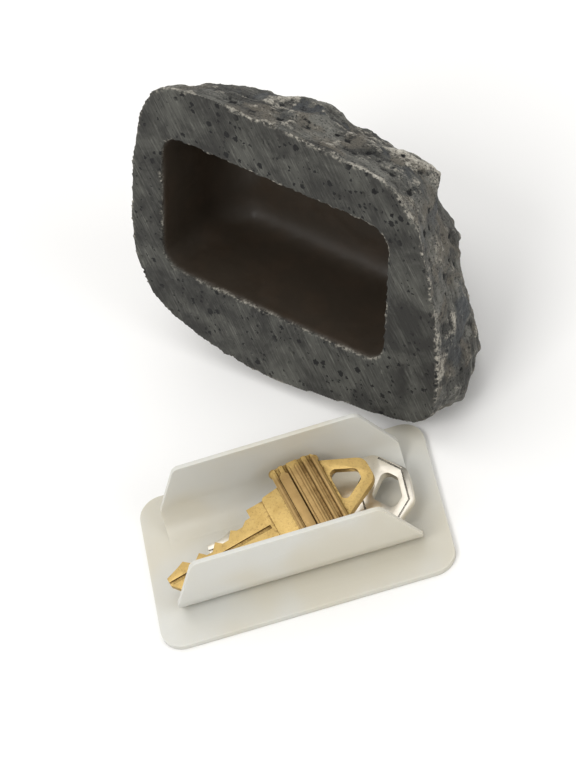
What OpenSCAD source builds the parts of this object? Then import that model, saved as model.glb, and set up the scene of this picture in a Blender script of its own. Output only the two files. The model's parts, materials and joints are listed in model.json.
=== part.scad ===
// Hide-a-key rock: a hollow cast rock, a push-in key tray and two loose house keys.
// Frame: origin at the middle of the tray plate's underside, X along the tray,
// Y from the open front to the back, Z up. The rock is drawn tipped back off its tray.

/* [Tray] */
// Length of the tray plate
plate_l = 76; // [70:0.5:84]
// Width of the tray plate
plate_w = 47; // [44:0.5:52]
// Thickness of the tray plate
plate_t = 1.6; // [1.2:0.1:2.4]
// Radius of the plate's corners
plate_corner_r = 6; // [2:0.5:10]
// Thickness of the two side walls of the trough
wall_t = 1.2; // [0.8:0.1:2]
// Distance from the middle of the trough to a wall's outer face
wall_reach = 15.4; // [14.6:0.1:16.4]
// Radius of the curve that carries a wall out of the plate, on its outer side
wall_curve_r = 8.4; // [6:0.2:9.4]
// Height of the wall tops above the plate's underside
wall_top = 22; // [19:0.5:23]
// Length of a wall at its foot
wall_foot_l = 63; // [59:0.5:66]
// Length of a wall along its top edge
wall_top_l = 48; // [40:0.5:54]
// Height at which the sloping ends of a wall begin
wall_shoulder_z = 7; // [4:0.5:10]

/* [Rock] */
// Height of the rock above its flat face
rock_h = 52; // [48:0.5:58]
// Width of the flat rim left of the mouth
rim_left = 11; // [9:0.5:16]
// Width of the flat rim right of the mouth
rim_right = 15.5; // [12:0.5:22]
// Width of the flat rim in front of the mouth
rim_front = 17.5; // [13:0.5:22]
// Width of the flat rim behind the mouth
rim_rear = 21.5; // [19:0.5:24]
// Depth of the key hollow
hollow_depth = 30; // [26:0.5:34]
// Slope of the hollow's walls for drawing the cast off its core
hollow_draft = 3.5; // [2:0.5:4]
// Radius of the hollow's upright corners
hollow_corner_r = 6; // [4:0.5:9]
// Radius between the hollow's walls and its ceiling
hollow_ceiling_r = 4; // [2:0.5:6]
// Thickness of cast kept over the hollow where the crown is low
cast_wall = 5; // [3:0.5:6]
// Height of the broad bumps on the rock's outside
bump_h = 0.8; // [0:0.1:1.2]
// Height of the sharp crests on the rock's outside
crest_h = 2; // [0:0.1:2.4]

/* [Fits] */
// Gap between the plate and the rock's flat face when closed
seat_gap = 0.2; // [0.1:0.05:0.5]
// Gap between a wall's end and the mouth's end when closed
end_gap = 3; // [2.5:0.1:4]
// Gap left between a wall's face and the mouth's side as the rock swings over it
side_gap = 2.7; // [2.4:0.1:4]
// Gap between the plate's rear corner and the tipping axis
axis_gap = 5.7; // [5:0.1:8]
// Gap between keys, and between a key and the tray
key_gap = 0.5; // [0.4:0.05:0.8]

/* [Tipping] */
// Height of the tipping axis above the floor, where it passes nearest the tray
axis_h = 4.4; // [4:0.1:6]
// Turn of the tipping axis to the right of the tray's length
axis_turn = 24.5; // [20:0.5:28]
// Rise of the tipping axis towards the right
axis_rise = 13.4; // [8:0.2:14]
// Angle between the closed rock and the rock tipped back
open_angle = 113; // [108:0.5:116]

/* [Brass key] */
// Overall length of the brass key
brass_l = 57.5; // [54:0.5:58]
// Thickness of the brass key's blade and loop
brass_t = 2.2; // [1.8:0.1:2.4]
// Thickness of the brass key's ribbed head
brass_head_t = 3.2; // [2.6:0.1:3.4]
// Width of the brass key's blade
brass_blade_w = 8.4; // [7.6:0.1:9]
// Width of the brass key's ribbed head
brass_head_w = 25; // [22:0.5:26]
// Length of the brass key's ribbed head
brass_head_l = 12; // [10:0.5:13]
// Length of the brass key's loop beyond its head
brass_loop_l = 10.5; // [9.5:0.5:12]
// Length of the brass key's neck between blade and head
brass_neck_l = 5; // [4:0.5:6]

/* [Nickel key] */
// Overall length of the nickel key
nickel_l = 54; // [52:0.5:55]
// Thickness of the nickel key
nickel_t = 2.2; // [1.8:0.1:2.4]
// Width of the nickel key's blade
nickel_blade_w = 8; // [7:0.1:8.6]
// Width of the nickel key's bow
nickel_bow_w = 24.6; // [23:0.1:25.4]
// Length of the nickel key's bow
nickel_bow_l = 25.5; // [24:0.5:27]

/* [Hidden] */
eps = 0.01;

// ---- tipping axis and the rock's two places ----
axis_dir = [cos(axis_rise) * cos(axis_turn), -cos(axis_rise) * sin(axis_turn), sin(axis_rise)];
axis_side = [sin(axis_turn), cos(axis_turn), 0];
axis_reach = [plate_l / 2, plate_w / 2, 0] * axis_side + axis_gap;
axis_point = axis_side * axis_reach + [0, 0, axis_h];
seat = [0, 0, plate_t + seat_gap];

function turned(v, a, u) = v * cos(a) + cross(u, v) * sin(a) + u * (u * v) * (1 - cos(a));

open_seat = axis_point + turned(seat - axis_point, -open_angle, axis_dir);
// the way down to the floor, seen from the tipped rock, and how far the floor is
floor_dir = turned([0, 0, -1], open_angle, axis_dir);
floor_reach = open_seat[2];

// ---- the mouth of the hollow, sized round the tray's walls ----
swing_rise = pow(wall_top - axis_h, 2) / (2 * (axis_reach + wall_reach));
mouth_x = wall_foot_l / 2 + end_gap;
mouth_y = wall_reach + swing_rise + side_gap;

// ---- the rock's outside: facets struck off a block ----
block_left = mouth_x + rim_left;
block_right = mouth_x + rim_right;
block_front = mouth_y + rim_front;
block_rear = mouth_y + rim_rear;
// side facets are [azimuth, lean inwards, depth struck off the block at the flat face]
SIDE_FACETS = [
    [180, 9, 0.3], [190, 13, 5.5], [210, 15, 8.5], [246, 13, 7.5],
    [270, 9, 0.3], [277, 10, 4.8], [308, 12, 12], [327, 14, 11.5], [345, 10, 8.3], [352, 5, 5.8],
    [16, 1, 3], [40, 2, 5.5], [65, 9, 8], [81, 4, 7], [92, 3, 0.5],
    [107, 13, 9], [135, 18, 11.5], [160, 13, 8]
];
// crown facets are [azimuth, tilt of the facet's normal, height above the rock's top
// at which the facet passes over the hollow's middle]
CROWN_FACETS = [
    [262, 49, -2], [235, 47, 2.6], [300, 46, 3.4], [338, 42, 15], [8, 44, 29], [35, 48, 34],
    [180, 45, 11.5], [95, 66, 2.6], [140, 48, 12.8], [262, 80, -1.5], [200, 84, -2], [60, 76, 0.5]
];
// bumps and crests are products of two waves: [wave, phase, wave across it, phase, share of the height]
BUMPS = [
    [[410, 0, 290], 40, [0, 370, -230], 75, 1],
    [[790, -640, 0], 20, [0, 260, 830], 110, 0.6]
];
CRESTS = [
    [[980, 310, 420], 10, [-350, 940, 510], 200, 0.6],
    [[-1250, 800, 900], 130, [900, 1150, -950], 290, 0.4]
];
// knobs and dents are [azimuth, elevation, height, spread in degrees]
KNOBS = [
    [320, 25, 5, 8.5], [334, 20, -1.8, 8], [347, 32, 2.6, 8], [10, 36, -1.2, 7], [31, 9, 4.6, 9],
    [292, 34, -1.6, 9], [268, 30, 1.4, 12], [243, 33, -1.8, 9], [222, 38, 1.6, 10], [192, 42, 3, 9],
    [180, 18, -1, 12], [285, 60, 0.8, 11], [250, 72, -1.6, 12], [330, 58, -2, 12], [20, 66, 2, 12],
    [150, 60, 1.8, 13], [110, 72, -1.4, 12], [205, 62, -1.8, 11]
];
FACET_SHARPNESS = 34;
// share of the roughness left at the flat face, and how fast it grows to all of it above
FACE_SHARE = 0.35;
FACE_GROWTH = 4;
// level of a crest's wave that lies on the facets, between its ridge and its valleys
CREST_LEVEL = 0.3;
RING_POINTS = 96;
OUTER_RINGS = 34;
WALL_RINGS = 5;
CORNER_RINGS = 3;

function sum(list, i = 0) = i == len(list) ? 0 : list[i] + sum(list, i + 1);
function facing(az, el) = [cos(el) * cos(az), cos(el) * sin(az), sin(el)];

function plan_reach(n) = (n[0] < 0 ? -n[0] * block_left : n[0] * block_right)
    + (n[1] < 0 ? -n[1] * block_front : n[1] * block_rear);

FACET_NORMALS = concat(
    [for (f = SIDE_FACETS) facing(f[0], f[1])],
    [for (f = CROWN_FACETS) facing(f[0], f[1])]
);
FACET_REACHES = concat(
    [for (f = SIDE_FACETS) (plan_reach(facing(f[0], 0)) - f[2]) * cos(f[1])],
    [for (f = CROWN_FACETS) (rock_h + f[2]) * sin(f[1])]
);

function sum_powers(dir, i = 0) = i == len(FACET_NORMALS) ? 0
    : pow(max(0, FACET_NORMALS[i] * dir) / FACET_REACHES[i], FACET_SHARPNESS) + sum_powers(dir, i + 1);

function waves(b, dir) = b[4] * sin(b[0] * dir + b[1]) * sin(b[2] * dir + b[3]);
function bump(dir) = sum([for (b = BUMPS) waves(b, dir)]);
function crest(dir) = sum([for (b = CRESTS) b[4] * CREST_LEVEL - abs(waves(b, dir))]);
function knob(dir) = sum([for (k = KNOBS) let (off = acos(min(1, dir * facing(k[0], k[1]))))
    k[2] * exp(-pow(off / k[3], 2))]);

// the flat face keeps a plain outline, and the roughness grows above it
function chipped_reach(dir) = pow(sum_powers(dir), -1 / FACET_SHARPNESS)
    + min(1, FACE_SHARE + FACE_GROWTH * dir[2]) * (bump_h * bump(dir) + crest_h * crest(dir) + knob(dir));

// the tipped rock is cut flat where it lies on the floor
function outer_reach(dir) = let (down = max(eps, floor_dir * dir))
    min(chipped_reach(dir), floor_reach / down);

// distance from the hollow's middle to a rounded rectangle's edge along an azimuth
function box_reach(hx, hy, az) = min(hx / max(abs(cos(az)), eps), hy / max(abs(sin(az)), eps));

function round_reach(hx, hy, r, az) = let (
    c = abs(cos(az)), s = abs(sin(az)), b = box_reach(hx, hy, az),
    cx = hx - r, cy = hy - r, along = cx * c + cy * s, off = cx * s - cy * c)
    (b * c > cx && b * s > cy) ? along + sqrt(max(0, r * r - off * off)) : b;

function ring_at(hx, hy, r, z) = [for (i = [0 : RING_POINTS - 1])
    let (az = i * 360 / RING_POINTS, reach = round_reach(hx, hy, r, az))
    [reach * cos(az), reach * sin(az), z]];

function outer_ring(el) = [for (i = [0 : RING_POINTS - 1])
    let (dir = facing(i * 360 / RING_POINTS, el)) dir * outer_reach(dir)];

// the hollow gives way where the crown comes down over its corners
function cored(p) = p * min(1, (outer_reach(p / norm(p)) - cast_wall) / norm(p));

wall_h = hollow_depth - hollow_ceiling_r;
function wall_ring(z) = let (inset = z * tan(hollow_draft))
    ring_at(mouth_x - inset, mouth_y - inset, hollow_corner_r, z);
function corner_ring(a) = let (
    inset = wall_h * tan(hollow_draft) + hollow_ceiling_r * (1 - cos(a)))
    ring_at(mouth_x - inset, mouth_y - inset, hollow_corner_r, wall_h + hollow_ceiling_r * sin(a));

ROCK_RINGS = concat(
    [for (k = [0 : CORNER_RINGS - 1]) [for (p = corner_ring(90 - 90 * k / CORNER_RINGS)) cored(p)]],
    [for (k = [0 : WALL_RINGS]) [for (p = wall_ring(wall_h * (1 - k / WALL_RINGS))) cored(p)]],
    [for (k = [0 : OUTER_RINGS - 1]) outer_ring(90 * k / OUTER_RINGS)]
);
CEILING_MIDDLE = cored([0, 0, hollow_depth]);
ROCK_TOP = [0, 0, outer_reach([0, 0, 1])];

// ---- outlines with rounded corners ----
// each point is [x, y, corner radius], and a corner turns by at most this at each step
CORNER_STEP = 12;
function unit(v) = v / norm(v);
function xy(p) = [p[0], p[1]];
function corner_arc(a, b, c) = let (
    u = unit(xy(a) - xy(b)), v = unit(xy(c) - xy(b)), half = acos(u * v) / 2,
    r = b[2], centre = xy(b) + unit(u + v) * r / sin(half),
    start = xy(b) + u * r / tan(half) - centre, turn = (180 - 2 * half),
    way = u[0] * v[1] - u[1] * v[0] > 0 ? -1 : 1, steps = max(2, ceil(turn / CORNER_STEP)))
    r == 0 ? [xy(b)] : [for (i = [0 : steps]) let (t = way * turn * i / steps)
        centre + [start[0] * cos(t) - start[1] * sin(t), start[0] * sin(t) + start[1] * cos(t)]];
function rounded(pts) = let (n = len(pts))
    [for (i = [0 : n - 1]) each corner_arc(pts[(i + n - 1) % n], pts[i], pts[(i + 1) % n])];
function mirrored(pts) = concat(pts, [for (i = [len(pts) - 1 : -1 : 0]) [pts[i][0], -pts[i][1], pts[i][2]]]);

// ---- where the keys lie ----
// pitch raises the bow, tilt raises the side towards the back wall, yaw turns the bow that way
nickel_pitch = 4;
nickel_yaw = -1;
brass_tilt = 11;
brass_pitch = 5.5;
brass_yaw = 12.5;
// how far the nickel bow's end lies past the walls' feet, how much of the bow shows past the brass
// loop, and the share of the free width between the walls that lies in front of the brass head
nickel_past_wall = 0.7;
bow_past_loop = 8.7;
head_share = 0.6;

// height at which the trough's curve meets a key's edge that is this far from the middle
function trough_rise(y) = let (r = wall_curve_r - wall_t, off = y - wall_reach + wall_curve_r)
    off <= 0 ? 0 : r - sqrt(max(0, r * r - off * off));

nickel_end_x = wall_foot_l / 2 + nickel_past_wall;
nickel_widest = 0.77 * nickel_bow_l;
nickel_end_z = plate_t + key_gap
    + max(nickel_l * sin(nickel_pitch), trough_rise(nickel_bow_w / 2) + nickel_widest * sin(nickel_pitch));
brass_head_back = brass_head_l + brass_loop_l;
brass_end_x = nickel_end_x - bow_past_loop;
brass_end_y = (wall_reach - wall_t - brass_head_w / 2) * head_share
    + (brass_head_back - brass_head_l / 2) * sin(brass_yaw);
brass_end_z = nickel_end_z + nickel_t + key_gap + brass_head_w / 2 * sin(brass_tilt)
    + brass_head_back * (sin(brass_pitch) - sin(nickel_pitch));

// ---------------------------------------------------------------- rock
module rock_upright() {
    n = RING_POINTS;
    top = len(ROCK_RINGS) * n;
    middle = top + 1;
    last = top - n;
    points = concat([for (ring = ROCK_RINGS) each ring], [ROCK_TOP, CEILING_MIDDLE]);
    faces = concat(
        [for (i = [0 : n - 1]) [i, (i + 1) % n, middle]],
        [for (k = [0 : n : last - n]) for (i = [0 : n - 1]) [k + i, k + n + i, k + n + (i + 1) % n]],
        [for (k = [0 : n : last - n]) for (i = [0 : n - 1]) [k + i, k + n + (i + 1) % n, k + (i + 1) % n]],
        [for (i = [0 : n - 1]) [last + i, top, last + (i + 1) % n]]
    );
    polyhedron(points, faces, convexity = 4);
}

module rock() {
    color("dimgray")
        translate(axis_point)
            rotate(a = -open_angle, v = axis_dir)
                translate(seat - axis_point)
                    rock_upright();
}

// ---------------------------------------------------------------- tray
module plate() {
    dx = plate_l / 2 - plate_corner_r;
    dy = plate_w / 2 - plate_corner_r;
    linear_extrude(plate_t) {
        square([plate_l, 2 * dy], center = true);
        square([2 * dx, plate_w], center = true);
        for (x = [-dx, dx], y = [-dy, dy])
            translate([x, y]) circle(plate_corner_r, $fn = 48);
    }
}

// a wall's cross-section: a curve out of the plate, then straight up
module wall_section() {
    curve_y = wall_reach - wall_curve_r;
    curve_z = plate_t + wall_curve_r - wall_t;
    translate([curve_y, curve_z]) intersection() {
        difference() {
            circle(wall_curve_r, $fn = 96);
            circle(wall_curve_r - wall_t, $fn = 96);
        }
        translate([0, -wall_curve_r]) square(wall_curve_r);
    }
    translate([wall_reach - wall_t, curve_z]) square([wall_t, wall_top - curve_z]);
}

// a wall's side view, with both ends sloping in towards the top
module wall_side_view() {
    foot = wall_foot_l / 2;
    top = wall_top_l / 2;
    round_r = 2.5;
    polygon(rounded([
        [-foot, 0, 0], [foot, 0, 0], [foot, wall_shoulder_z, round_r], [top, wall_top, round_r],
        [-top, wall_top, round_r], [-foot, wall_shoulder_z, round_r]
    ]));
}

module wall() {
    intersection() {
        rotate([90, 0, 90])
            linear_extrude(wall_foot_l, center = true)
                wall_section();
        rotate([90, 0, 0])
            linear_extrude(3 * wall_reach, center = true)
                wall_side_view();
    }
}

module key_tray() {
    color("whitesmoke") {
        plate();
        wall();
        mirror([0, 1, 0]) wall();
    }
}

// ---------------------------------------------------------------- keys
// The keys are drawn flat, blade tip at x = 0, underside at z = 0.
// Cuts along a blade are [distance from the tip, depth below the blade's edge].
groove_deep = 0.5;

module blade(length, width, thick, cuts) {
    tip_half = 1;
    tip_l = 2.6;
    half = width / 2;
    linear_extrude(thick) polygon(concat(
        [[0, -tip_half], [tip_l, -half], [length, -half], [length, half]],
        [for (c = cuts) [c[0], half - c[1]]],
        [[0, tip_half]]
    ));
}

module groove(x, y, length, width, top) {
    translate([x, y, top - groove_deep]) cube([length, width, 2 * groove_deep]);
}

module brass_flat() {
    loop_x = brass_l - brass_loop_l;
    head_x = loop_x - brass_head_l;
    neck_x = head_x - brass_neck_l;
    half_head = brass_head_w / 2;
    head_taper = 1.5;
    neck_half = 7;
    neck_t = brass_head_t - 0.4;
    stop_l = 4.6;
    stop_w = 2.4;
    rim = 3;
    rib_groove_w = 1.1;
    difference() {
        union() {
            blade(neck_x + eps, brass_blade_w, brass_t, [
                [24, 0], [22.6, 1.2], [21, 1.2], [19.6, 0.3], [18, 2.4], [16.4, 2.4], [14.8, 1],
                [13.2, 3], [11.6, 3], [10, 1.4], [8.6, 2.6], [7, 2.6], [5.4, 1.2], [3.6, 2]
            ]);
            // stop beside the blade's root
            translate([neck_x - stop_l, brass_blade_w / 2 - eps, 0])
                cube([stop_l + eps, stop_w, brass_t]);
            // neck between blade and head
            linear_extrude(neck_t) polygon(rounded(mirrored([
                [neck_x, -neck_half, 1], [head_x + 1, -neck_half - 0.6, 0]
            ])));
            // ribbed head
            linear_extrude(brass_head_t) polygon(rounded(mirrored([
                [head_x, -half_head, 2], [loop_x, -half_head + head_taper, 2]
            ])));
            // three-cornered loop
            linear_extrude(brass_t) difference() {
                polygon(rounded(mirrored([[loop_x - 1, -9.2, 0], [brass_l, -3.2, 3.4]])));
                polygon(rounded(mirrored([[loop_x + 0.8, -5.3, 1.4], [brass_l - rim, -1.6, 1.4]])));
            }
        }
        // milled groove along the blade
        groove(-eps, -1.3, neck_x - 1, rib_groove_w, brass_t);
        // grooves across the head that leave the ribs
        for (share = [0.12, 0.3, 0.63, 0.82])
            groove(head_x + share * brass_head_l, -half_head, rib_groove_w, brass_head_w, brass_head_t);
    }
}

module nickel_flat() {
    root_x = nickel_l - nickel_bow_l;
    widest_x = nickel_l - nickel_widest;
    corner_x = nickel_l - 0.3 * nickel_bow_l;
    half_bow = nickel_bow_w / 2;
    blade_l = root_x + 2;
    rim = 3;
    difference() {
        blade(blade_l, nickel_blade_w, nickel_t, [
            [23, 0], [21, 2], [19.4, 2], [17.6, 0.6], [15.8, 2.8], [14, 2.8], [12.2, 1],
            [10.4, 2.2], [8.6, 2.2], [6.4, 0.6], [4, 2.2]
        ]);
        groove(-eps, -1.6, blade_l, 1.2, nickel_t);
    }
    linear_extrude(nickel_t) difference() {
        polygon(rounded(mirrored([
            [root_x, -6, 1], [widest_x, -half_bow + 0.6, 3], [corner_x, -half_bow, 3.4], [nickel_l, -4.6, 3.6]
        ])));
        // five-cornered hole for a key ring
        polygon(rounded([
            [nickel_l - 10.6, -0.4, 2], [nickel_l - 5.6, -6, 1.6], [nickel_l - rim, -3, 1.6],
            [nickel_l - rim, 3, 1.6], [nickel_l - 6, 6.4, 1.6]
        ]));
    }
}

module nickel_key() {
    color("silver")
        translate([nickel_end_x, 0, nickel_end_z])
            rotate([0, -nickel_pitch, nickel_yaw])
                translate([-nickel_l, 0, 0])
                    nickel_flat();
}

module brass_key() {
    color("goldenrod")
        translate([brass_end_x, brass_end_y, brass_end_z])
            rotate([0, 0, brass_yaw])
                rotate([brass_tilt, -brass_pitch, 0])
                    translate([-brass_l, 0, 0])
                        brass_flat();
}

rock();
key_tray();
brass_key();
nickel_key();
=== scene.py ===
"""Hide-a-key rock: a hollow cast rock, its key tray and two house keys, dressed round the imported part."""
import json
import math

import bpy
import numpy as np
from bpy.props import FloatProperty, FloatVectorProperty, PointerProperty, StringProperty
from mathutils import Matrix, Vector


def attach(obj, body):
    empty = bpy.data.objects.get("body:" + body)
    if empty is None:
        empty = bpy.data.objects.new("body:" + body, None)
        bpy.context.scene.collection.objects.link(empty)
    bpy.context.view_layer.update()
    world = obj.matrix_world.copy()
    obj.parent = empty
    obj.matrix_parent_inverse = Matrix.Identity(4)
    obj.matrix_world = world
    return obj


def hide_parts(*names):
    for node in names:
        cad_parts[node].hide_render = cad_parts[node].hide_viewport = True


bl_info = {
    "name": "Hide-a-key rock",
    "version": (1, 0, 0),
    "blender": (4, 5, 0),
    "location": "View3D > Sidebar > Key Rock",
    "description": "Dresses a hollow garden rock that hides house keys in a push-in tray",
    "category": "Object",
}

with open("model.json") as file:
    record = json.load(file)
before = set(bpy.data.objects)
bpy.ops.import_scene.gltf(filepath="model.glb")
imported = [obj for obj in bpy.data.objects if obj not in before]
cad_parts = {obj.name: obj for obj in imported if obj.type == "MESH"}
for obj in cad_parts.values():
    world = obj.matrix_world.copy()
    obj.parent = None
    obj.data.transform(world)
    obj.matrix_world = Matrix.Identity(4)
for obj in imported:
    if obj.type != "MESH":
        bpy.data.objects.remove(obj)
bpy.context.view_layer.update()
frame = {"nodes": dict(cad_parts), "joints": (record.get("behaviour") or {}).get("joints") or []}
MM = 0.001
# points closer than this are one point, and edges shorter than that are what cutting leaves
SAME_POINT = 0.002 * MM
TOO_SHORT = 0.01 * MM
# angles between faces: under FLAT they are one side, and over the others their edge is bevelled, given a
# round end or corner, or shaded sharp
FLAT = math.radians(0.5)
BEVELLED = math.radians(40)
ROUNDED = math.radians(60)
SHADED_SHARP = math.radians(35)


# ---------------------------------------------------------------- what a user changes
def length(name, description, default, **limits):
    return FloatProperty(
        name=name, description=description, default=default, unit="LENGTH", precision=5, **limits)


def angle(name, description, degrees):
    return FloatProperty(
        name=name, description=description, default=math.radians(degrees), subtype="ANGLE")


def paint(name, description, default):
    return StringProperty(name=name, description=description + ", as an sRGB hex value", default=default)


class RockLooks(bpy.types.PropertyGroup):
    grain: length("Casting grain", "Spacing of the points of the rock's surface", 0.65 * MM, min=0.4 * MM)
    ledge: length("Ledges", "How far broken ledges step in", 1.3 * MM)
    strata: length("Strata", "How far the thin beds along the flat face stand out", 0.5 * MM)
    grit: length("Grit", "How rough the broken surface is", 0.75 * MM)
    pit: length("Pits", "How deep the blow holes are", 0.9 * MM)
    crumb: length("Crumbs", "How far the mouth's edge has crumbled", 0.7 * MM)
    charcoal: paint("Charcoal", "The darkest of the casting's own greys", "#393834")
    stone: paint("Stone", "The lightest of the casting's own greys", "#76756e")
    taupe: paint("Taupe", "The warmer grey of the stain", "#696358")
    slate: paint("Slate", "Blue-black patches of the stain", "#33383d")
    # cream and ivory are the stain's light wash, and where they follow what stands proud they are also
    # painted highlight
    cream: paint("Cream", "Light wash brushed over what stands proud", "#a5a094")
    ivory: paint("Ivory", "Thickest of the light wash", "#c6c1b5")
    # soot is stain in pits and cracks, and on the broken outside also painted shade over what is sunk
    soot_and_shade: paint("Soot", "Stain left in pits and cracks", "#0b0b0a")
    cut_grey: paint("Cut grey", "Bare casting on the sanded flat face", "#2b2a27")
    cut_light: paint("Light cut grey", "Paler clouds and scratches in the bare casting", "#53534d")
    hollow_brown: paint("Hollow brown", "Brown-black resin skin in the hollow", "#32291e")
    hollow_umber: paint("Hollow umber", "Paler clouds of the hollow's skin", "#372c20")


class TrayLooks(bpy.types.PropertyGroup):
    edge: length("Edge radius", "Rounding of the moulding's edges", 0.35 * MM)
    natural: paint("Natural", "Polypropylene without pigment", "#cdccc5")
    aged: paint("Aged", "Where the plastic has yellowed a little", "#cbc6b7")


class KeyLooks(bpy.types.PropertyGroup):
    edge: length("Edge wear", "Rounding of a key's edges", 0.22 * MM)
    engraving: length("Engraved line", "Radius of the tool that cut the border lines", 0.24 * MM)
    head: length("Head", "Length of the brass key's ribbed head", 12 * MM)
    loop: length("Loop", "Length of the brass key's loop beyond its head", 10.5 * MM)
    taper: length("Taper", "How much narrower the head gets on each side towards the loop", 1.5 * MM)
    bead: length("Beads", "Spacing of the beads along the head's front edge", 1.3 * MM)
    brass: paint("Brass", "Bright brass where fingers polish it", "#c6a96c")
    bronze: paint("Bronze", "Browned brass on the ribbed head", "#a88b5c")
    # tarnish and grime are laid where ambient occlusion finds the metal deep, so they are real stain and
    # painted shade together
    tarnish: paint("Tarnish", "Brown tarnish between the ribs", "#6e5430")
    nickel: paint("Nickel", "Satin nickel plate", "#ebe4d6")
    grime: paint("Grime", "Dirt in the engraved lines", "#2a2723")


class StageLooks(bpy.types.PropertyGroup):
    aim: FloatVectorProperty(
        name="Aim", description="Point that the camera looks at", default=(0.0091, 0.0308, 0.0214),
        subtype="TRANSLATION", unit="LENGTH")
    distance: length("Distance", "From the point looked at to the camera", 0.665)
    azimuth: angle("Azimuth", "How far to the right of the front the camera stands", 6.7)
    elevation: angle("Elevation", "How far above the horizon the camera stands", 50.6)
    roll: angle("Roll", "Turn of the camera about its own line of sight", -21.9)
    lens: FloatProperty(
        name="Focal length", description="Focal length in millimetres", default=123.3,
        subtype="DISTANCE_CAMERA")
    floor: paint("Floor", "Plain pale floor", "#f4f3f1")
    surround: FloatProperty(
        name="Surround", description="Strength of the white light from all round", default=0.47, min=0)


# ---------------------------------------------------------------- small helpers
def linear(hex_value):
    """sRGB hex value as the linear colour that a shader takes."""
    parts = [int(hex_value[i:i + 2], 16) / 255 for i in (1, 3, 5)]
    return tuple(p / 12.92 if p <= 0.04045 else ((p + 0.055) / 1.055) ** 2.4 for p in parts) + (1.0,)


def only(piece):
    """Leaves just this piece selected, and active."""
    bpy.ops.object.select_all(action="DESELECT")
    piece.select_set(True)
    bpy.context.view_layer.objects.active = piece
    return piece


def modify(piece, kind, **settings):
    """Adds a modifier to the piece and applies it."""
    only(piece)
    modifier = piece.modifiers.new(kind.title(), kind)
    for key, value in settings.items():
        setattr(modifier, key, value)
    bpy.ops.object.modifier_apply(modifier=modifier.name)


def copy_of(node, name, flat_sides=True):
    """A separate copy of a CAD node's mesh with its doubled corners merged and its flat sides joined up."""
    piece = bpy.data.objects.new(name, frame["nodes"][node].data.copy())
    bpy.context.scene.collection.objects.link(piece)
    piece.data.materials.clear()
    only(piece)
    bpy.ops.mesh.customdata_custom_splitnormals_clear()
    bpy.ops.object.mode_set(mode="EDIT")
    bpy.ops.mesh.select_all(action="SELECT")
    bpy.ops.mesh.remove_doubles(threshold=SAME_POINT)
    if flat_sides:
        bpy.ops.mesh.dissolve_limited(angle_limit=FLAT)
    bpy.ops.object.mode_set(mode="OBJECT")
    return piece


def close_up(piece):
    """Collapses the edges too short to matter that cutting and bevelling leave."""
    only(piece)
    bpy.ops.object.mode_set(mode="EDIT")
    bpy.ops.mesh.select_all(action="SELECT")
    bpy.ops.mesh.dissolve_degenerate(threshold=TOO_SHORT)
    bpy.ops.object.mode_set(mode="OBJECT")


def join(piece, parts):
    """Makes the parts one object with the piece."""
    only(piece)
    for part in parts:
        part.select_set(True)
    bpy.ops.object.join()


def finish_piece(piece, node, body, materials):
    """Gives a piece its materials and its place in the frame."""
    for material in materials:
        piece.data.materials.append(material)
    only(piece)
    bpy.ops.object.shade_smooth_by_angle(angle=SHADED_SHARP)
    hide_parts(node)
    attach(piece, body)


# ---------------------------------------------------------------- materials
# settings of a Map Range node that rises smoothly. its inputs in order are the value, the value's low and
# high, and what it gives at each, which is 0 and 1 where they are left out
SMOOTH = {"interpolation_type": "SMOOTHSTEP"}
# sockets of a Mix node that lays one colour over another, by place because their names repeat
MASK = 0
UNDER = 6
OVER = 7
MIXED = 2


def new_material(name):
    material = bpy.data.materials.new(name)
    material.use_nodes = True
    return material, material.node_tree.nodes["Principled BSDF"]


def plug(material, node, inputs):
    """Gives a node's inputs, by name or in order, a value or another node's output."""
    for key, value in inputs.items() if isinstance(inputs, dict) else enumerate(inputs):
        if isinstance(value, bpy.types.NodeSocket):
            material.node_tree.links.new(value, node.inputs[key])
        else:
            node.inputs[key].default_value = value


def add(material, kind, inputs=(), output=0, **settings):
    """Adds a node with its settings and links, and returns one of its outputs."""
    node = material.node_tree.nodes.new("ShaderNode" + kind)
    for key, value in settings.items():
        setattr(node, key, value)
    plug(material, node, inputs)
    return node.outputs[output]


def place_mm(material, to_local=Matrix.Identity(4), stretch=(1, 1, 1), turn=0):
    """Object coordinates in millimetres in a piece's own frame, turned about its Z by radians and then
    stretched."""
    local = add(material, "Mapping", {
        "Vector": add(material, "TexCoord", output="Object"), "Scale": (1 / MM,) * 3,
        "Rotation": to_local.to_euler(), "Location": to_local.translation / MM})
    turned = add(material, "Mapping", {"Vector": local, "Rotation": (0, 0, turn)})
    return add(material, "Mapping", {"Vector": turned, "Scale": stretch})


def blow_holes(material, mm, spacing_mm, largest):
    """1 in clusters of small uneven holes about spacing_mm apart and of mixed sizes, and 0 between them.
    largest is the radius of the largest hole, as a share of the spacing."""
    wobble = add(material, "TexNoise", {"Vector": mm, "Scale": 1.5, "Detail": 3}, output="Color")
    uneven = add(material, "VectorMath", [wobble, (1.3, 1.3, 1.3), mm], operation="MULTIPLY_ADD")
    from_middle = add(material, "TexVoronoi", {
        "Vector": uneven, "Scale": 1 / spacing_mm, "Randomness": 1.0}, output="Distance")
    # most holes are much smaller than the largest
    chance = add(material, "SeparateColor", [from_middle.node.outputs["Color"]])
    size = add(material, "Math", [chance, chance], operation="MULTIPLY")
    from_edge = add(material, "Math", [size, -largest, from_middle], operation="MULTIPLY_ADD")
    moved = add(material, "Mapping", {"Vector": mm, "Location": (51, 51, 51)})
    crowds = add(material, "TexNoise", {
        "Vector": moved, "Scale": 1 / 9, "Detail": 2, "Roughness": 0.55}, output="Fac")
    crowded = add(material, "MapRange", [crowds, 0.35, 0.48], **SMOOTH)
    return add(material, "MapRange", [from_edge, 0.03, -0.03, 0, crowded], **SMOOTH)


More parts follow.
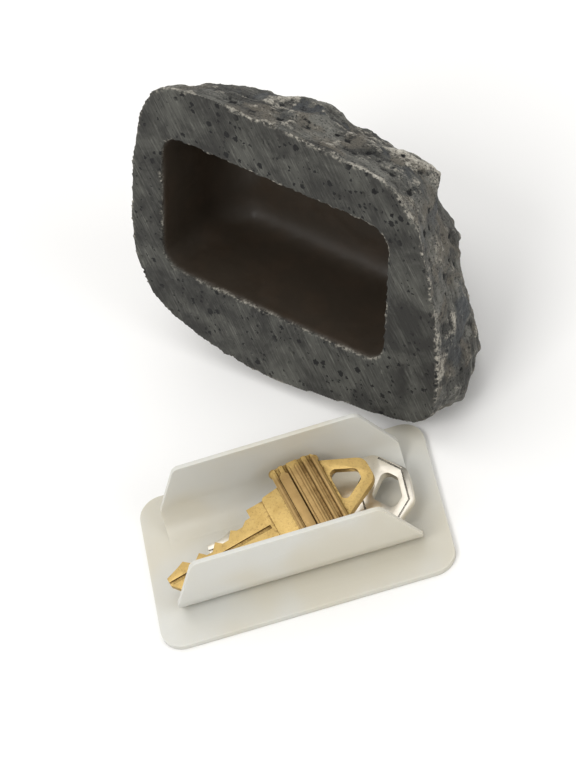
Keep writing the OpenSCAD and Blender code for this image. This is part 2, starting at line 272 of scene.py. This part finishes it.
def stone_fields(material, mm, to_upright):
    """What the stone's colours and relief are made from, by name: clouds of many sizes, from 0 to 1, and
    the attributes that the rock's points carry."""
    on_beds = place_mm(material, to_upright, stretch=(0.16, 0.16, 1.5))
    on_strokes = place_mm(material, to_upright, stretch=(0.55, 0.7, 1.6), turn=0.5)
    on_sanding = place_mm(material, to_upright, stretch=(0.12, 1.6, 1), turn=-0.99)
    fields = {}
    # name, place, width of a lump in millimetres, detail, roughness, distortion, shift that makes it differ.
    # specks and grains are the stone powder's, drawn coarse enough to show
    for name, place, lump_mm, detail, roughness, distortion, shift in (
        ("specks", mm, 1.1, 3, 0.6, 0, 3),
        ("grains", mm, 0.6, 2, 0.75, 0, 61),
        ("gravel", mm, 3, 6, 0.7, 0, 9),
        ("warmth", mm, 9, 5, 0.55, 0.8, 17),
        ("grey_clouds", mm, 13, 6, 0.62, 0.6, 0),
        ("drifts", mm, 16, 5, 0.6, 0.9, 31),
        ("patches", mm, 19, 3, 0.55, 0.7, 41),
        ("beds", on_beds, 2.2, 4, 0.6, 0.8, 23),
        ("smears", on_strokes, 6, 7, 0.68, 0.5, 7),
        ("smudges", mm, 12, 6, 0.62, 0.5, 12),
        ("scratches", on_sanding, 1, 4, 0.78, 0.15, 0),
        ("skin", mm, 8, 3, 0.55, 0, 5),
    ):
        moved = add(material, "Mapping", {"Vector": place, "Location": (shift,) * 3})
        fields[name] = add(material, "TexNoise", {
            "Vector": moved, "Scale": 1 / lump_mm, "Detail": detail, "Roughness": roughness,
            "Distortion": distortion}, output="Fac")
    for name in ("raised", "on_cut_face", "at_edge", "in_hollow"):
        fields[name] = add(material, "Attribute", output="Fac", attribute_name=name)
    return fields


def broken_stone(material, looks, mm, fields, slate):
    """Colours of the broken outside: grey clouds and beds, warmer patches and slate ones, light wash that is
    partly painted highlight on what stands proud, and soot in pits together with painted shade in what is
    sunk."""
    clouded = add(material, "Math", [fields["grey_clouds"], 0.62], operation="MULTIPLY")
    tone = add(material, "Math", [fields["beds"], 0.38, clouded], operation="MULTIPLY_ADD")
    specked = add(material, "Math", [fields["specks"], 0.5], operation="MULTIPLY")
    proud = add(material, "Math", [specked, fields["raised"]], operation="ADD")
    # how much of the light wash each place gets: what each field adds to it. the share from raised lays it
    # on what stands proud as painted highlight, and the rest is the stain's own cream
    brushed = -0.6
    for field, share in (
        (fields["raised"], 0.5), (fields["smears"], 1.0), (fields["specks"], 0.3), (fields["grains"], 0.5),
        (fields["patches"], 0.7), (slate, -0.22),
    ):
        brushed = add(material, "Math", [field, share, brushed], operation="MULTIPLY_ADD")
    colours = linear(looks.charcoal)
    for mask, colour in (
        (add(material, "MapRange", [tone, 0.41, 0.64], **SMOOTH), looks.stone),
        (add(material, "MapRange", [fields["warmth"], 0.48, 0.6, 0, 0.7], **SMOOTH), looks.taupe),
        (slate, looks.slate),
        (add(material, "MapRange", [brushed, 0.95, 1.2], **SMOOTH), looks.cream),
        (add(material, "MapRange", [brushed, 1.16, 1.36], **SMOOTH), looks.ivory),
        # soot over what is sunk is painted shade; over low grains and in the blow holes it is stain in pits
        (add(material, "MapRange", [proud, 0.62, 0.44], **SMOOTH), looks.soot_and_shade),
        (add(material, "MapRange", [fields["grains"], 0.46, 0.33, 0, 0.75], **SMOOTH), looks.soot_and_shade),
        (blow_holes(material, mm, 1.7, 0.2), looks.soot_and_shade),
    ):
        colours = add(material, "Mix", {
            MASK: mask, UNDER: colours, OVER: linear(colour)}, output=MIXED, data_type="RGBA")
    return colours


def sanded_stone(material, looks, mm, fields):
    """Colours of the sanded flat face: grey clouds, dark and pale scratches all one way, black blow holes
    of two sizes, and pale chips along its edges."""
    scratched = add(material, "Math", [fields["scratches"], 0.3], operation="MULTIPLY")
    tone = add(material, "Math", [fields["smudges"], 0.7, scratched], operation="MULTIPLY_ADD")
    # how strong the dark and the pale scratches are, and where the edge may be chipped
    dark = add(material, "MapRange", [fields["warmth"], 0.44, 0.6, 0.25, 0.65], **SMOOTH)
    pale = add(material, "MapRange", [fields["smudges"], 0.4, 0.6, 0, 0.55], **SMOOTH)
    chipped = add(material, "MapRange", [fields["warmth"], 0.44, 0.56, 0, fields["at_edge"]], **SMOOTH)
    colours = linear(looks.cut_grey)
    for mask, colour in (
        (add(material, "MapRange", [tone, 0.4, 0.66], **SMOOTH), looks.cut_light),
        (add(material, "MapRange", [fields["scratches"], 0.45, 0.3, 0, dark], **SMOOTH), looks.soot_and_shade),
        (add(material, "MapRange", [fields["scratches"], 0.54, 0.68, 0, pale], **SMOOTH), looks.stone),
        (blow_holes(material, mm, 2.6, 0.42), looks.soot_and_shade),
        (blow_holes(material, mm, 1.5, 0.36), looks.soot_and_shade),
        (add(material, "MapRange", [fields["specks"], 0.46, 0.6, 0, chipped], **SMOOTH), looks.cream),
    ):
        colours = add(material, "Mix", {
            MASK: mask, UNDER: colours, OVER: linear(colour)}, output=MIXED, data_type="RGBA")
    return colours


def cast_stone(looks, to_upright):
    """Cast polyresin filled with stone powder, stained dark and dry-brushed: dull, mottled and pitted
    outside, with painted highlight on what stands proud and painted shade in what is sunk, sanded on its
    flat face, and with the smooth skin that the core leaves in the hollow."""
    material, shader = new_material("cast_stone_resin")
    mm = place_mm(material, to_upright)
    fields = stone_fields(material, mm, to_upright)
    # slate patches are smoother than the rest, and stronger towards the crown
    height = add(material, "SeparateXYZ", [mm], output="Z")
    crown = add(material, "MapRange", [height, 3, 20, 0.35, 0.9], **SMOOTH)
    slate = add(material, "MapRange", [fields["drifts"], 0.54, 0.63, 0, crown], **SMOOTH)
    clouded = add(material, "MapRange", [fields["skin"], 0.42, 0.68], **SMOOTH)
    skin = add(material, "Mix", {
        MASK: clouded, UNDER: linear(looks.hollow_brown), OVER: linear(looks.hollow_umber)},
        output=MIXED, data_type="RGBA")
    colours = broken_stone(material, looks, mm, fields, slate)
    for mask, colour in (
        (fields["on_cut_face"], sanded_stone(material, looks, mm, fields)),
        (fields["in_hollow"], skin),
    ):
        colours = add(material, "Mix", {
            MASK: mask, UNDER: colours, OVER: colour}, output=MIXED, data_type="RGBA")
    dull = add(material, "Math", [fields["in_hollow"], -0.22, 0.84], operation="MULTIPLY_ADD")
    roughness = add(material, "Math", [slate, -0.16, dull], operation="MULTIPLY_ADD")
    # gravel and grains raise the broken outside alone, and scratches the sanded face
    uncut = add(material, "Math", [1.0, fields["on_cut_face"]], operation="SUBTRACT")
    broken = add(material, "Math", [uncut, fields["in_hollow"]], operation="SUBTRACT")
    below = {}
    for name, height_mm, mask in (
        ("gravel", 1.4, broken), ("scratches", 0.12, fields["on_cut_face"]), ("grains", 0.35, broken),
    ):
        centred = add(material, "Math", [fields[name], 0.5], operation="SUBTRACT")
        shown = add(material, "Math", [centred, mask], operation="MULTIPLY")
        below["Normal"] = add(material, "Bump", {
            "Height": shown, "Distance": height_mm * MM, "Strength": 1.0, **below})
    plug(material, shader, {"Base Color": colours, "Roughness": roughness, "IOR": 1.5, **below})
    return material


def natural_polypropylene(looks):
    """Injection-moulded polypropylene without pigment: waxy, a little see-through and satin."""
    material, shader = new_material("natural_polypropylene")
    mm = place_mm(material)
    along_flow = place_mm(material, stretch=(0.05, 1, 1))
    fields = {}
    # name, place, width of a lump in millimetres, detail, shift that makes it differ. flow is the lines
    # along the mould and fine the grain of its steel, both drawn coarse enough to show
    for name, place, lump_mm, detail, shift in (
        ("aged", mm, 32, 2, 0), ("worn", mm, 5, 4, 0), ("flow", along_flow, 2.2, 2, 4),
        ("fine", mm, 0.7, 2, 0),
    ):
        moved = add(material, "Mapping", {"Vector": place, "Location": (shift,) * 3})
        fields[name] = add(material, "TexNoise", {
            "Vector": moved, "Scale": 1 / lump_mm, "Detail": detail, "Roughness": 0.55}, output="Fac")
    yellowed = add(material, "MapRange", [fields["aged"], 0.4, 0.62], **SMOOTH)
    colours = add(material, "Mix", {
        MASK: yellowed, UNDER: linear(looks.natural), OVER: linear(looks.aged)},
        output=MIXED, data_type="RGBA")
    lines = add(material, "Bump", {"Height": fields["flow"], "Distance": 0.03 * MM, "Strength": 1.0})
    plug(material, shader, {
        "Base Color": colours,
        "Roughness": add(material, "Math", [fields["worn"], 0.16, 0.36], operation="MULTIPLY_ADD"),
        "IOR": 1.49,
        "Subsurface Weight": 0.35,
        "Subsurface Scale": 1.5 * MM,
        "Subsurface Radius": (1.0, 0.95, 0.85),
        "Normal": add(material, "Bump", {
            "Height": fields["fine"], "Distance": 0.015 * MM, "Strength": 1.0, "Normal": lines}),
    })
    return material


def worn_metal(name, to_flat, bright, dark, roughness, grain_mm, browned=None):
    """A key's metal, polished where it is handled, with dirt and painted shade in what lies deep and
    scratches lengthways.
    browned is a colour, speckled all over, and the box [low x, high x, high y] in millimetres of the flat
    key that has it whole."""
    material, shader = new_material(name)
    mm = place_mm(material, to_flat)
    lengthways = place_mm(material, to_flat, stretch=(0.08, 2.2, 1), turn=0.06)
    # deep is ambient occlusion, low in grooves and between ribs: where the painted shade goes
    fields = {"deep": add(material, "AmbientOcclusion", {"Distance": 1.3 * MM}, output="AO",
                          samples=8, only_local=True)}
    # name, place, width of a lump in millimetres, detail, roughness, shift that makes it differ
    for field, place, lump_mm, detail, rough, shift in (
        ("grain", mm, 0.5, 3, 0.65, 0), ("stains", mm, 3.2, 5, 0.6, 6),
        ("scratches", lengthways, 1, 3, 0.7, 0),
    ):
        moved = add(material, "Mapping", {"Vector": place, "Location": (shift,) * 3})
        fields[field] = add(material, "TexNoise", {
            "Vector": moved, "Scale": 1 / lump_mm, "Detail": detail, "Roughness": rough}, output="Fac")
    # dirt and painted shade gather in what lies deep, and unevenly
    dirt_and_shade = 0.0
    for field, share in (("deep", -1), ("grain", 0.5), ("stains", 0.45)):
        dirt_and_shade = add(material, "Math", [fields[field], share, dirt_and_shade], operation="MULTIPLY_ADD")
    layers = [(add(material, "MapRange", [dirt_and_shade, -0.48, -0.05], **SMOOTH), dark)]
    if browned:
        colour, low_x, high_x, high_y = browned
        across = add(material, "SeparateXYZ", [mm], output="Y")
        along = across.node.outputs["X"]
        inside = add(material, "MapRange", [across, high_y, high_y - 2.5], **SMOOTH)
        inside = add(material, "MapRange", [along, high_x + 0.4, high_x - 0.4, 0, inside], **SMOOTH)
        inside = add(material, "MapRange", [along, low_x - 0.4, low_x + 0.4, 0, inside], **SMOOTH)
        speckled = add(material, "MapRange", [fields["grain"], 0.52, 0.66, 0, 0.55], **SMOOTH)
        layers.insert(0, (add(material, "Math", [inside, speckled], operation="MAXIMUM"), colour))
    colours = linear(bright)
    for mask, colour in layers:
        colours = add(material, "Mix", {
            MASK: mask, UNDER: colours, OVER: linear(colour)}, output=MIXED, data_type="RGBA")
    lines = add(material, "Bump", {"Height": fields["scratches"], "Distance": 0.02 * MM, "Strength": 1.0})
    plug(material, shader, {
        "Base Color": colours,
        "Metallic": 1.0,
        "Roughness": add(material, "MapRange", [fields["stains"], 0.4, 0.7, roughness, roughness + 0.18],
                         **SMOOTH),
        "Normal": add(material, "Bump", {
            "Height": fields["grain"], "Distance": grain_mm * MM, "Strength": 1.0, "Normal": lines}),
    })
    return material


def paper_floor(looks):
    """Paper, uncoated and laid flat: white and quite matt."""
    material, shader = new_material("white_paper")
    plug(material, shader, {
        "Base Color": linear(looks.floor), "Roughness": 0.9, "Specular IOR Level": 0.1})
    return material


# ---------------------------------------------------------------- the rock
def to_upright():
    """Takes the tipped rock to where it stands shut over the tray, with its flat face at height 0."""
    joint = next(j for j in frame["joints"] if j["name"] == "rock_tip")
    pivot = Vector(joint["pos_m"])
    turn = Matrix.Rotation(math.radians(joint["range_deg"][1]), 4, Vector(joint["axis"]))
    shut = Matrix.Translation(pivot) @ turn @ Matrix.Translation(-pivot)
    lowest = min((shut @ v.co).z for v in frame["nodes"]["rock"].data.vertices)
    return Matrix.Translation((0, 0, -lowest)) @ shut


def points_of(piece, matrix=Matrix.Identity(4)):
    """The piece's points in millimetres in the frame that the matrix leads to."""
    points = np.empty(len(piece.data.vertices) * 3)
    piece.data.vertices.foreach_get("co", points)
    turn = np.array(matrix.to_3x3())
    return (points.reshape(-1, 3) @ turn.T + np.array(matrix.translation)) / MM


def normals_of(piece, matrix=Matrix.Identity(4)):
    """The normals at the piece's points, in the frame that the matrix leads to."""
    normals = np.empty(len(piece.data.vertices) * 3)
    piece.data.vertices.foreach_get("normal", normals)
    return normals.reshape(-1, 3) @ np.array(matrix.to_3x3()).T


def mouth_and_rim(node, matrix):
    """Reach of the mouth and of the flat face's outer edge, by azimuth, from the CAD rock."""
    p = points_of(frame["nodes"][node], matrix)
    flat = p[np.abs(p[:, 2]) < 0.02]
    azimuth = np.degrees(np.arctan2(flat[:, 1], flat[:, 0]))
    reach = np.hypot(flat[:, 0], flat[:, 1])
    spokes = np.unique(np.round(azimuth, 1))
    near = [reach[np.abs(azimuth - s) < 0.2].min() for s in spokes]
    far = [reach[np.abs(azimuth - s) < 0.2].max() for s in spokes]
    return spokes, np.array(near), np.array(far)


def ramp(values, low, high):
    """Rises smoothly from 0 where the values are at low to 1 where they are at high."""
    t = np.clip((values - low) / (high - low), 0, 1)
    return t * t * (3 - 2 * t)


def weigh(piece, name, weights):
    """A vertex group with these weights, rounded to so many steps that few calls set them."""
    group = piece.vertex_groups.new(name=name)
    steps = 20
    levels = np.round(weights * steps) / steps
    for level in np.unique(levels[levels > 0]):
        group.add(np.flatnonzero(levels == level).tolist(), float(level), "REPLACE")


def store(piece, name, values):
    """An attribute of the piece's points, for its material to read."""
    piece.data.attributes.new(name, "FLOAT", "POINT").data.foreach_set("value", values.astype(np.float32))


def carve(piece, guide, group, kind, size_mm, depth, proud, **texture_settings):
    """Displaces the group's points by a texture whose grains are about size_mm, measured from the guide:
    depth is from its lowest to its highest, and proud is the share of it that stands outwards."""
    texture = bpy.data.textures.new(f"{group}_{kind.lower()}", kind)
    texture.noise_scale = size_mm
    texture.use_clamp = True
    for key, value in texture_settings.items():
        setattr(texture, key, value)
    modify(piece, "DISPLACE", texture=texture, texture_coords="OBJECT", texture_coords_object=guide,
           vertex_group=group, strength=depth, mid_level=1 - proud, direction="NORMAL")


class KEYROCK_OT_rock(bpy.types.Operator):
    """Casts the rock: breaks up its outside, sands its flat face and leaves the hollow smooth"""
    bl_idname = "keyrock.rock"
    bl_label = "Cast Rock"

    def execute(self, context):
        looks = context.scene.keyrock_rock
        upright = to_upright()
        rock = copy_of("rock", "rock_casting", flat_sides=False)
        modify(rock, "REMESH", mode="VOXEL", voxel_size=looks.grain)
        spokes, mouth, rim = mouth_and_rim("rock", upright)
        p = points_of(rock, upright)
        azimuth = np.degrees(np.arctan2(p[:, 1], p[:, 0]))
        reach = np.hypot(p[:, 0], p[:, 1])
        height = p[:, 2]
        past_mouth = reach - np.interp(azimuth, spokes, mouth, period=360)
        inside_rim = np.interp(azimuth, spokes, rim, period=360) - reach
        floor_height = points_of(rock)[:, 2]
        # in millimetres: how near the CAD's flat face and mouth a point has to be to belong to them
        at_face = 0.4
        at_mouth = 0.6
        # the hollow's surface looks towards the middle of the mouth, and all the rest looks away from it
        looks_in = (normals_of(rock, upright) * (p - (0, 0, 1))).sum(1) < 0
        hollow = looks_in & (past_mouth < at_mouth) & (height > at_face)
        flat = (height < at_face) & (past_mouth > -at_mouth) & ~hollow
        outside = ~hollow & ~flat
        on_floor = ramp(floor_height, 0.9, 0.2)
        from_edge = np.minimum(np.abs(past_mouth), np.abs(inside_rim))
        # where each step works, with ramps in millimetres: rounded lumps, broken stone and beds outside, the
        # sanded face, the mouth's lip, the hollow's skin and the core's ceiling
        weigh(rock, "rounded", outside * ramp(height, 1, 4))
        weigh(rock, "broken", outside * (1 - on_floor) * (0.2 + 0.8 * ramp(height, 0.4, 5)))
        weigh(rock, "bedded", outside * (1 - on_floor) * ramp(height, 30, 8))
        weigh(rock, "sanded", flat * ramp(from_edge, 0, 1.5))
        weigh(rock, "lip", (hollow | flat) * ramp(np.maximum(np.abs(past_mouth), height), 1.8, 0.4))
        weigh(rock, "skin", hollow.astype(float))
        weigh(rock, "core", hollow * ramp(height, 10, 18))
        guide = self.guide(context, upright, (1, 1, 1))
        bed_guide = self.guide(context, upright, (7, 7, 1))
        modify(rock, "SMOOTH", vertex_group="rounded", factor=0.5, iterations=16)
        modify(rock, "SMOOTH", vertex_group="core", factor=0.5, iterations=160)
        # ledges, beds, grit, pits outside and on the sanded face, crumbs of the lip, and the skin's waves
        carve(rock, guide, "broken", "MUSGRAVE", size_mm=8, depth=looks.ledge, proud=0.3,
              musgrave_type="RIDGED_MULTIFRACTAL", octaves=4, noise_intensity=0.4)
        carve(rock, bed_guide, "bedded", "CLOUDS", size_mm=1.6, depth=looks.strata, proud=0.5,
              noise_depth=2, contrast=1.4)
        carve(rock, guide, "broken", "CLOUDS", size_mm=2.4, depth=looks.grit, proud=0.4,
              noise_depth=4, contrast=1.3)
        carve(rock, guide, "broken", "VORONOI", size_mm=5.2, depth=3 * looks.pit, proud=0,
              contrast=1.7, intensity=2)
        carve(rock, guide, "sanded", "VORONOI", size_mm=4.6, depth=3 * looks.pit, proud=0,
              contrast=1.6, intensity=2)
        carve(rock, guide, "lip", "CLOUDS", size_mm=1.4, depth=looks.crumb, proud=0,
              noise_depth=3, contrast=1.5)
        carve(rock, guide, "skin", "CLOUDS", size_mm=6, depth=0.25 * MM, proud=0)
        bpy.data.objects.remove(guide)
        bpy.data.objects.remove(bed_guide)
        self.measure(rock)
        store(rock, "on_cut_face", flat * 1.0)
        store(rock, "in_hollow", hollow * ramp(height, 0.2, 1.4))
        store(rock, "at_edge", ramp(from_edge, 1.2, 0.2))
        finish_piece(rock, "rock", "rock", [cast_stone(looks, upright)])
        return {"FINISHED"}

    def guide(self, context, upright, stretch):
        """An empty whose units are millimetres of the upright rock, stretched along its axes."""
        empty = bpy.data.objects.new("guide", None)
        context.scene.collection.objects.link(empty)
        empty.matrix_world = upright.inverted() @ Matrix.Diagonal((*(Vector(stretch) * MM), 1))
        context.view_layer.update()
        return empty

    def measure(self, rock):
        """Stores how far each point stands above the stone round it, from 0 sunk to 1 proud, which the
        material uses for painted shade and painted highlight.
        """
        calm = only(rock).copy()
        calm.data = rock.data.copy()
        bpy.context.scene.collection.objects.link(calm)
        modify(calm, "SMOOTH", factor=0.9, iterations=28)
        stands = ((points_of(rock) - points_of(calm)) * normals_of(calm)).sum(1)
        deepest_to_proudest_mm = 1.1
        bpy.data.objects.remove(calm)
        store(rock, "raised", np.clip(0.5 + stands / deepest_to_proudest_mm, 0, 1))


# ---------------------------------------------------------------- the tray
class KEYROCK_OT_tray(bpy.types.Operator):
    """Moulds the key tray with softened edges"""
    bl_idname = "keyrock.tray"
    bl_label = "Mould Tray"

    def execute(self, context):
        looks = context.scene.keyrock_tray
        tray = copy_of("key_tray", "tray_moulding")
        modify(tray, "BEVEL", width=looks.edge, segments=3, limit_method="ANGLE",
               angle_limit=BEVELLED, use_clamp_overlap=True)
        finish_piece(tray, "key_tray", "tray", [natural_polypropylene(looks)])
        return {"FINISHED"}


# ---------------------------------------------------------------- the keys
def flat_to_world(node, joint_name):
    """The frame in which a key lies flat: X along it to the bow, Z up out of its broad face,
    and the middle of its underside's width at y = 0, with the tip of its blade at x = 0."""
    mesh = frame["nodes"][node].data
    broad = {}
    for face in mesh.polygons:
        if face.normal.z > 0.5:
            key = tuple(round(c, 2) for c in face.normal)
            broad.setdefault(key, [0.0, Vector()])
            broad[key][0] += face.area
            broad[key][1] += face.normal * face.area
    up = max(broad.values(), key=lambda v: v[0])[1].normalized()
    along = Vector(next(j for j in frame["joints"] if j["name"] == joint_name)["axis"])
    if along.x < 0:
        along.negate()
    side = up.cross(along).normalized()
    turn = Matrix((side.cross(up), side, up)).transposed().to_4x4()
    local = [turn.inverted() @ v.co for v in mesh.vertices]
    low = [min(v[i] for v in local) for i in range(3)]
    high = [max(v[i] for v in local) for i in range(3)]
    return turn @ Matrix.Translation((low[0], (low[1] + high[1]) / 2, low[2]))


def round_bar(middle, length_, radius, flatten=1.0):
    """A bar across the key with round ends, from a cylinder with its end edges bevelled."""
    bpy.ops.object.select_all(action="DESELECT")
    bpy.ops.mesh.primitive_cylinder_add(
        vertices=20, radius=radius, depth=length_, location=middle, rotation=(math.pi / 2, 0, 0))
    bar = bpy.context.active_object
    modify(bar, "BEVEL", width=radius * 0.96, segments=4, limit_method="ANGLE", angle_limit=ROUNDED)
    bar.scale = (1, flatten, 1)
    bpy.ops.object.transform_apply(location=False, rotation=True, scale=True)
    return bar


def pebble(middle, radii):
    """A smooth lobe, from a sphere scaled to three radii."""
    bpy.ops.object.select_all(action="DESELECT")
    bpy.ops.mesh.primitive_ico_sphere_add(subdivisions=3, radius=1, location=middle)
    lobe = bpy.context.active_object
    lobe.scale = radii
    bpy.ops.object.transform_apply(location=False, rotation=False, scale=True)
    return lobe


def cutting_line(points, radius):
    """A closed tube along a line of points, to cut a groove with."""
    curve = bpy.data.curves.new("cutter", "CURVE")
    curve.dimensions = "3D"
    curve.bevel_depth = radius
    curve.bevel_resolution = 2
    curve.use_fill_caps = True
    spline = curve.splines.new("POLY")
    spline.points.add(len(points) - 1)
    for spot, point in zip(spline.points, points):
        spot.co = (*point, 1)
    cutter = bpy.data.objects.new("cutter", curve)
    bpy.context.scene.collection.objects.link(cutter)
    only(cutter)
    bpy.ops.object.convert(target="MESH")
    return bpy.context.active_object


def top_corner(piece):
    """The highest X, Y and Z that the piece's points reach."""
    return Vector(max(v.co[i] for v in piece.data.vertices) for i in range(3))


def panel(middle, size, corner):
    """A flat raised panel with its corners cut off, from a plane with thickness."""
    bpy.ops.object.select_all(action="DESELECT")
    bpy.ops.mesh.primitive_plane_add(size=1, location=middle)
    piece = bpy.context.active_object
    piece.scale = (size[0], size[1], 1)
    bpy.ops.object.transform_apply(location=False, rotation=False, scale=True)
    modify(piece, "BEVEL", width=corner, affect="VERTICES")
    modify(piece, "SOLIDIFY", thickness=size[2], offset=1)
    modify(piece, "BEVEL", width=size[2] * 0.4, segments=2, limit_method="ANGLE", angle_limit=ROUNDED)
    return piece


class KEYROCK_OT_brass_key(bpy.types.Operator):
    """Makes the brass key with its ribbed head, lobed edge and thick loop"""
    bl_idname = "keyrock.brass_key"
    bl_label = "Cut Brass Key"

    # ribs as [share of the head's length, radius, how far the lobe at their end stands out], in millimetres
    RIBS = [(0.06, 0.8, 0.3), (0.4, 0.5, 0.1), (0.56, 0.62, 0.45), (0.76, 0.7, 0.2), (0.95, 0.75, -0.3)]

    def execute(self, context):
        looks = context.scene.keyrock_keys
        place = flat_to_world("brass_key", "brass_key_slide")
        key = copy_of("brass_key", "brass_key_blank")
        key.data.transform(place.inverted())
        high = top_corner(key)
        modify(key, "BEVEL", width=looks.edge, segments=2, limit_method="ANGLE",
               angle_limit=BEVELLED, use_clamp_overlap=True)
        head_right = high.x - looks.loop
        head_left = head_right - looks.head
        parts = []
        for share, radius, lobe in self.RIBS:
            x = head_left + share * looks.head
            half = high.y - looks.taper * share
            # in millimetres, a rib stands 0.2 above the face and ends 0.6 inside each edge of the head.
            # its lobe is at the edge away from the beads
            parts.append(round_bar((x, 0, high.z - (radius - 0.2) * MM), 2 * half - 1.2 * MM, radius * MM))
            parts.append(pebble((x, half - (0.9 - lobe) * MM, high.z - 1.3 * MM),
                                (radius * 1.6 * MM, 1.25 * MM, 1.3 * MM)))
        # the smooth panel between the first ribs
        parts.append(panel((head_left + 0.24 * looks.head, 0.6 * MM, high.z - 0.15 * MM),
                           (2.6 * MM, 1.56 * high.y, 0.45 * MM), 1.0 * MM))
        beads = round(looks.head / looks.bead)
        for k in range(beads):
            across = -high.y + looks.taper * k / beads + 0.35 * MM
            parts.append(pebble((head_left + (k + 0.5) * looks.bead, across, high.z - 1.0 * MM),
                                (0.36 * looks.bead, 0.55 * MM, 0.85 * MM)))
        join(key, parts)
        key.data.transform(place)
        finish_piece(key, "brass_key", "brass_key", [worn_metal(
            "worn_brass", place.inverted(), looks.brass, looks.tarnish, 0.46, 0.09,
            browned=(looks.bronze, head_left / MM, head_right / MM, high.y / MM - 1))])
        return {"FINISHED"}


class KEYROCK_OT_nickel_key(bpy.types.Operator):
    """Makes the nickel key and engraves the border lines of its bow"""
    bl_idname = "keyrock.nickel_key"
    bl_label = "Cut Nickel Key"

    def execute(self, context):
        looks = context.scene.keyrock_keys
        place = flat_to_world("nickel_key", "nickel_key_slide")
        key = copy_of("nickel_key", "nickel_key_blank")
        key.data.transform(place.inverted())
        high = top_corner(key)
        modify(key, "BEVEL", width=looks.edge, segments=2, limit_method="ANGLE",
               angle_limit=BEVELLED, use_clamp_overlap=True)
        # border lines, as places in millimetres back from the bow's end and out from its middle
        for line in (
            [(22.6, 6.2), (18.2, 10.4), (10.6, 11.0), (9.6, 9.6), (13.0, 4.6), (12.6, -4.4), (10.2, -8.6),
             (7.2, -10.0), (8.2, -10.9)],
            [(6.6, 10.6), (1.5, 4.9), (1.4, -4.6), (6.4, -10.4)],
        ):
            cutter = cutting_line([(high.x - x * MM, y * MM, high.z) for x, y in line], looks.engraving)
            modify(key, "BOOLEAN", operation="DIFFERENCE", object=cutter, solver="EXACT")
            bpy.data.objects.remove(cutter)
        close_up(key)
        key.data.transform(place)
        finish_piece(key, "nickel_key", "nickel_key", [worn_metal(
            "satin_nickel_plate", place.inverted(), looks.nickel, looks.grime, 0.3, 0.02)])
        return {"FINISHED"}


# ---------------------------------------------------------------- the stage
class KEYROCK_OT_stage(bpy.types.Operator):
    """Lays the pale floor and sets the lights and the camera"""
    bl_idname = "keyrock.stage"
    bl_label = "Set Stage"

    def execute(self, context):
        looks = context.scene.keyrock_stage
        self.floor(context, looks)
        # each light's name, place and width in metres, and power in watts
        for name, place, size, power in (
            ("key_softbox", (-0.5, -0.45, 0.9), 0.5, 5),
            ("fill_softbox", (0.8, -0.5, 0.6), 0.7, 3.6),
            ("top_softbox", (-0.15, 0.6, 1.0), 1.6, 8.5),
        ):
            self.softbox(context, looks, name, Vector(place), size, power)
        world = bpy.data.worlds.new("studio")
        world.use_nodes = True
        context.scene.world = world
        world.node_tree.nodes["Background"].inputs["Color"].default_value = (1, 1, 1, 1)
        world.node_tree.nodes["Background"].inputs["Strength"].default_value = looks.surround
        context.scene.view_settings.view_transform = "Standard"
        self.camera(context, looks)
        return {"FINISHED"}

    def floor(self, context, looks):
        bpy.ops.object.select_all(action="DESELECT")
        bpy.ops.mesh.primitive_plane_add(size=4, location=(0, 0, -0.05 * MM))
        floor = context.active_object
        floor.name = "paper_floor"
        floor.data.materials.append(paper_floor(looks))

    def softbox(self, context, looks, name, place, size, power):
        light = bpy.data.lights.new(name, "AREA")
        light.size = size
        light.energy = power
        lamp = bpy.data.objects.new(name, light)
        lamp.location = place
        lamp.rotation_euler = (place - Vector(looks.aim)).to_track_quat("Z", "Y").to_euler()
        context.scene.collection.objects.link(lamp)

    def camera(self, context, looks):
        """A long lens from the front right, high up and rolled."""
        back = Vector((math.sin(looks.azimuth) * math.cos(looks.elevation),
                       -math.cos(looks.azimuth) * math.cos(looks.elevation), math.sin(looks.elevation)))
        data = bpy.data.cameras.new("camera")
        data.lens = looks.lens
        camera = bpy.data.objects.new("camera", data)
        turn = back.to_track_quat("Z", "Y").to_matrix() @ Matrix.Rotation(looks.roll, 3, "Z")
        place = Vector(looks.aim) + back * looks.distance
        camera.matrix_world = Matrix.LocRotScale(place, turn.to_quaternion(), None)
        context.scene.collection.objects.link(camera)
        context.scene.camera = camera


# ---------------------------------------------------------------- the panel and the start
STEPS = ["rock", "tray", "brass_key", "nickel_key", "stage"]
LOOKS = {
    "keyrock_rock": RockLooks, "keyrock_tray": TrayLooks, "keyrock_keys": KeyLooks,
    "keyrock_stage": StageLooks,
}


class KEYROCK_PT_panel(bpy.types.Panel):
    """Lists the steps and the sizes and colours that they read"""
    bl_idname = "KEYROCK_PT_panel"
    bl_label = "Hide-a-Key Rock"
    bl_space_type = "VIEW_3D"
    bl_region_type = "UI"
    bl_category = "Key Rock"

    def draw(self, context):
        for step in STEPS:
            self.layout.operator(f"keyrock.{step}")
        for group, kind in LOOKS.items():
            box = self.layout.box()
            for name in kind.__annotations__:
                box.prop(getattr(context.scene, group), name)


CLASSES = [*LOOKS.values(), KEYROCK_OT_rock, KEYROCK_OT_tray, KEYROCK_OT_brass_key, KEYROCK_OT_nickel_key,
           KEYROCK_OT_stage, KEYROCK_PT_panel]


def register():
    for item in CLASSES:
        bpy.utils.register_class(item)
    for group, kind in LOOKS.items():
        setattr(bpy.types.Scene, group, PointerProperty(type=kind))


def unregister():
    for group in LOOKS:
        delattr(bpy.types.Scene, group)
    for item in reversed(CLASSES):
        bpy.utils.unregister_class(item)


def main():
    register()
    for step in STEPS:
        getattr(bpy.ops.keyrock, step)()


if __name__ == "__main__":
    main()
